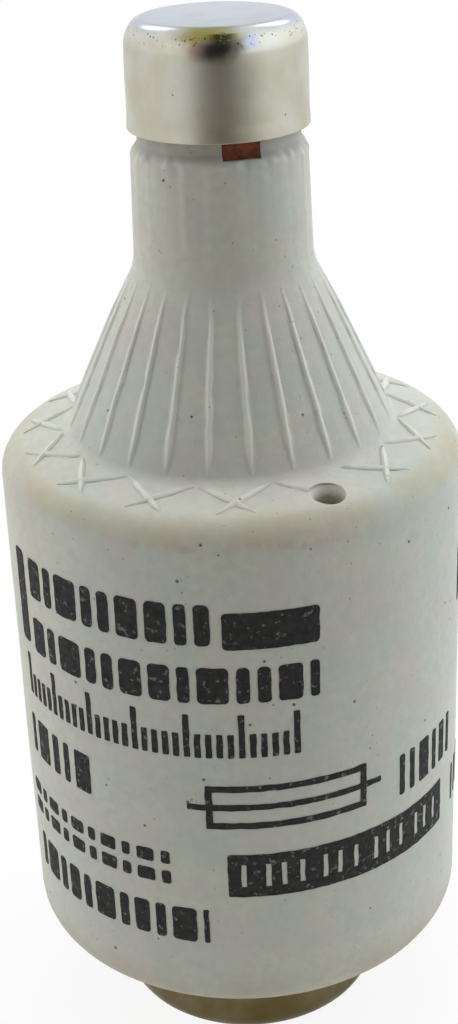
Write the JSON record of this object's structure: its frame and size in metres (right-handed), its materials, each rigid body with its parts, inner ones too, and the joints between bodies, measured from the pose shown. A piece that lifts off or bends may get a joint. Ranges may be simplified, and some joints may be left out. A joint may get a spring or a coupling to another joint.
{
  "type": "bottle-shaped ceramic fuse-link",
  "caption": "Bottle-shaped ceramic cartridge fuse with drawn metal end contacts, ribbed cone, folded copper strip end under the narrow cap and a pop-out indicator in the wide one.",
  "frame": {"origin": "centre of the head contact's flat face, on which the link stands", "axes": "+Z along the link's axis, from the head contact at the wide end to the foot contact at the narrow end; -Y is the side that the picture shows"},
  "size_m": [0.0218, 0.0218, 0.05],
  "materials": {
    "unglazed_ceramic": "matte",
    "nickel_plated_brass": "satin",
    "tarnished_nickel_plate": "satin",
    "oxidised_copper": "satin",
    "tin_solder": "satin",
    "resistance_wire": "satin",
    "red_lacquered_brass": "gloss",
    "spring_steel": "satin",
    "vulcanised_fibre": "matte",
    "quartz_sand": "matte"
  },
  "bodies": {
    "fuse_link": {"ceramic_body": "unglazed_ceramic", "foot_contact_cap": "nickel_plated_brass", "head_contact_cap": "tarnished_nickel_plate", "fuse_strip": "oxidised_copper", "overload_solder": "tin_solder", "indicator_wire": "resistance_wire", "indicator_spring": "spring_steel", "head_sealing_washer": "vulcanised_fibre", "foot_sealing_washer": "vulcanised_fibre", "quartz_sand": "quartz_sand"},
    "indicator": {"indicator_disc": "red_lacquered_brass", "disc_solder_dot": "tin_solder"}
  },
  "joints": [
    {"name": "indicator_release", "type": "slide", "parent": "fuse_link", "child": "indicator", "axis": [0, 0, -1], "range_m": [0, 0.002], "deforming": ["indicator_spring"]}
  ]
}
